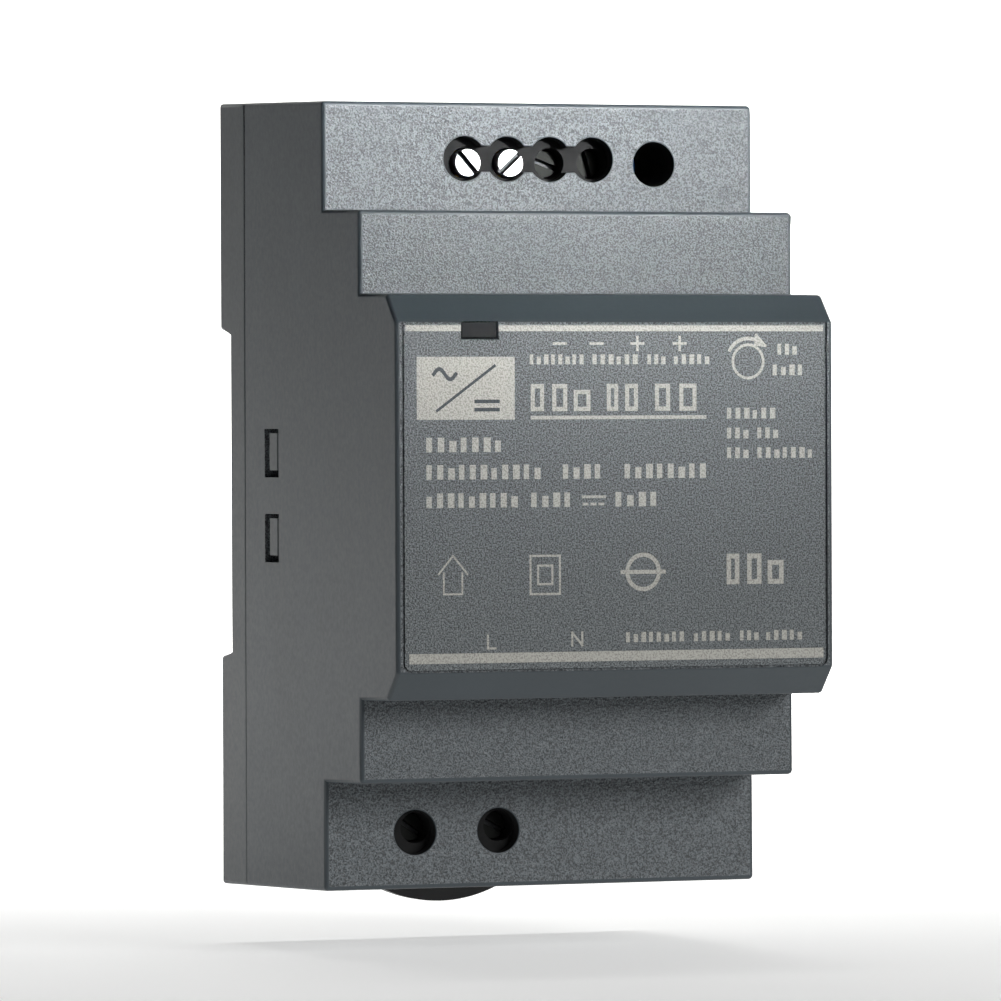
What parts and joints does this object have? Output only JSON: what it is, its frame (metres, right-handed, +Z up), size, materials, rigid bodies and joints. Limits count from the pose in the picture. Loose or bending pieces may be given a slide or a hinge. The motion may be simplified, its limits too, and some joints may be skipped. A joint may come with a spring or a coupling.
{
  "type": "din rail power supply",
  "caption": "Stepped slate-grey power supply that clips on a 35 mm rail, with screw terminals top and bottom and a labelled front panel.",
  "frame": {"origin": "on the rail seat, at the middle of the case's width and on the centre line of the rail", "axes": "+X along the rail, to the right as the front panel is seen; +Y backwards into the rail, so the front panel faces -Y; +Z up"},
  "size_m": [0.0524, 0.0545, 0.0926],
  "materials": {
    "case_plastic": "spark-eroded fronts, smooth sides",
    "base_plastic": "smooth moulded",
    "label_film": "textured film with cream print",
    "light_pipe_acrylic": "dark tinted",
    "clip_acetal": "moulded",
    "spring_steel": "drawn wire",
    "terminal_nylon": "moulded",
    "terminal_brass": "stamped",
    "plate_steel": "plated",
    "screw_nickel": "bright nickel plate",
    "glass_epoxy_board": "solder mask",
    "fuse_case": "moulded",
    "varistor_coating": "epoxy coating",
    "thermistor_coating": "epoxy coating",
    "film_capacitor_case": "moulded",
    "ferrite": "ground",
    "copper_wire": "enamelled",
    "black_epoxy": "moulded",
    "capacitor_sleeve": "shrunk sleeve",
    "heat_sink_aluminium": "mill finish",
    "ceramic_capacitor_coating": "epoxy coating",
    "bobbin_phenolic": "moulded",
    "winding_tape": "polyester tape",
    "adjuster_case": "moulded",
    "adjuster_rotor_plastic": "moulded",
    "lamp_epoxy": "cast"
  },
  "bodies": {
    "root": {"housing": "case_plastic", "rear_base": "base_plastic", "front_label": "label_film", "light_pipe": "light_pipe_acrylic", "clip_spring": "spring_steel", "output_terminal_block": "terminal_nylon", "input_terminal_block": "terminal_nylon", "output_frames": "terminal_brass", "input_frames": "terminal_brass", "main_board": "glass_epoxy_board", "fuse": "fuse_case", "varistor": "varistor_coating", "inrush_thermistor": "thermistor_coating", "x_capacitor": "film_capacitor_case", "choke_core": "ferrite", "choke_windings": "copper_wire", "bridge_rectifier": "black_epoxy", "bulk_capacitor": "capacitor_sleeve", "power_transistor": "black_epoxy", "primary_heat_sink": "heat_sink_aluminium", "controller_chip": "black_epoxy", "optocoupler": "black_epoxy", "y_capacitor": "ceramic_capacitor_coating", "transformer_core": "ferrite", "transformer_bobbin": "bobbin_phenolic", "transformer_windings": "winding_tape", "output_diode": "black_epoxy", "output_heat_sink": "heat_sink_aluminium", "output_capacitors": "capacitor_sleeve", "output_choke": "ferrite", "adjuster_body": "adjuster_case", "indicator_lamp": "lamp_epoxy"},
    "rail_clip_body": {"rail_clip": "clip_acetal"},
    "adjuster_rotor_body": {"adjuster_rotor": "adjuster_rotor_plastic"},
    "output_plate_1_body": {"output_plate_1": "plate_steel"},
    "output_screw_1_body": {"output_screw_1": "screw_nickel"},
    "output_plate_2_body": {"output_plate_2": "plate_steel"},
    "output_screw_2_body": {"output_screw_2": "screw_nickel"},
    "output_plate_3_body": {"output_plate_3": "plate_steel"},
    "output_screw_3_body": {"output_screw_3": "screw_nickel"},
    "output_plate_4_body": {"output_plate_4": "plate_steel"},
    "output_screw_4_body": {"output_screw_4": "screw_nickel"},
    "input_plate_l_body": {"input_plate_l": "plate_steel"},
    "input_screw_l_body": {"input_screw_l": "screw_nickel"},
    "input_plate_n_body": {"input_plate_n": "plate_steel"},
    "input_screw_n_body": {"input_screw_n": "screw_nickel"}
  },
  "joints": [
    {"name": "rail_clip_pull", "type": "slide", "parent": "root", "child": "rail_clip_body", "axis": [0, 0, -1], "range_m": [0, 0.004], "stiffness_N_per_m": 900, "springref_m": -0.003, "deforming": ["clip_spring"]},
    {"name": "output_adjust", "type": "hinge", "parent": "root", "child": "adjuster_rotor_body", "pos_m": [0.0141, -0.0159, 0.03777], "axis": [0, 1, 0], "range_deg": [-135, 135]},
    {"name": "output_feed_1", "type": "slide", "parent": "root", "child": "output_plate_1_body", "axis": [0, 1, 0], "range_m": [0, 0.0027]},
    {"name": "output_turn_1", "type": "hinge", "parent": "output_plate_1_body", "child": "output_screw_1_body", "pos_m": [-0.00825, -0.0229, 0.03782], "axis": [0, 1, 0], "range_deg": [0, 2160]},
    {"name": "output_feed_2", "type": "slide", "parent": "root", "child": "output_plate_2_body", "axis": [0, 1, 0], "range_m": [0, 0.0027]},
    {"name": "output_turn_2", "type": "hinge", "parent": "output_plate_2_body", "child": "output_screw_2_body", "pos_m": [-0.00305, -0.0229, 0.03782], "axis": [0, 1, 0], "range_deg": [0, 2160]},
    {"name": "output_feed_3", "type": "slide", "parent": "root", "child": "output_plate_3_body", "axis": [0, 1, 0], "range_m": [-0.0027, 0]},
    {"name": "output_turn_3", "type": "hinge", "parent": "output_plate_3_body", "child": "output_screw_3_body", "pos_m": [0.00215, -0.0229, 0.03782], "axis": [0, 1, 0], "range_deg": [-2160, 0]},
    {"name": "output_feed_4", "type": "slide", "parent": "root", "child": "output_plate_4_body", "axis": [0, 1, 0], "range_m": [-0.0027, 0]},
    {"name": "output_turn_4", "type": "hinge", "parent": "output_plate_4_body", "child": "output_screw_4_body", "pos_m": [0.00735, -0.0229, 0.03782], "axis": [0, 1, 0], "range_deg": [-2160, 0]},
    {"name": "input_feed_l", "type": "slide", "parent": "root", "child": "input_plate_l_body", "axis": [0, 1, 0], "range_m": [-0.0027, 0]},
    {"name": "input_turn_l", "type": "hinge", "parent": "input_plate_l_body", "child": "input_screw_l_body", "pos_m": [-0.01455, -0.0229, -0.03702], "axis": [0, 1, 0], "range_deg": [-2160, 0]},
    {"name": "input_feed_n", "type": "slide", "parent": "root", "child": "input_plate_n_body", "axis": [0, 1, 0], "range_m": [-0.0027, 0]},
    {"name": "input_turn_n", "type": "hinge", "parent": "input_plate_n_body", "child": "input_screw_n_body", "pos_m": [-0.00445, -0.0229, -0.03702], "axis": [0, 1, 0], "range_deg": [-2160, 0]}
  ],
  "couplings": [
    {"joint": "output_turn_1", "follows": "output_feed_1", "rad_per_m": 13963},
    {"joint": "output_turn_2", "follows": "output_feed_2", "rad_per_m": 13963},
    {"joint": "output_turn_3", "follows": "output_feed_3", "rad_per_m": 13963},
    {"joint": "output_turn_4", "follows": "output_feed_4", "rad_per_m": 13963},
    {"joint": "input_turn_l", "follows": "input_feed_l", "rad_per_m": 13963},
    {"joint": "input_turn_n", "follows": "input_feed_n", "rad_per_m": 13963}
  ]
}
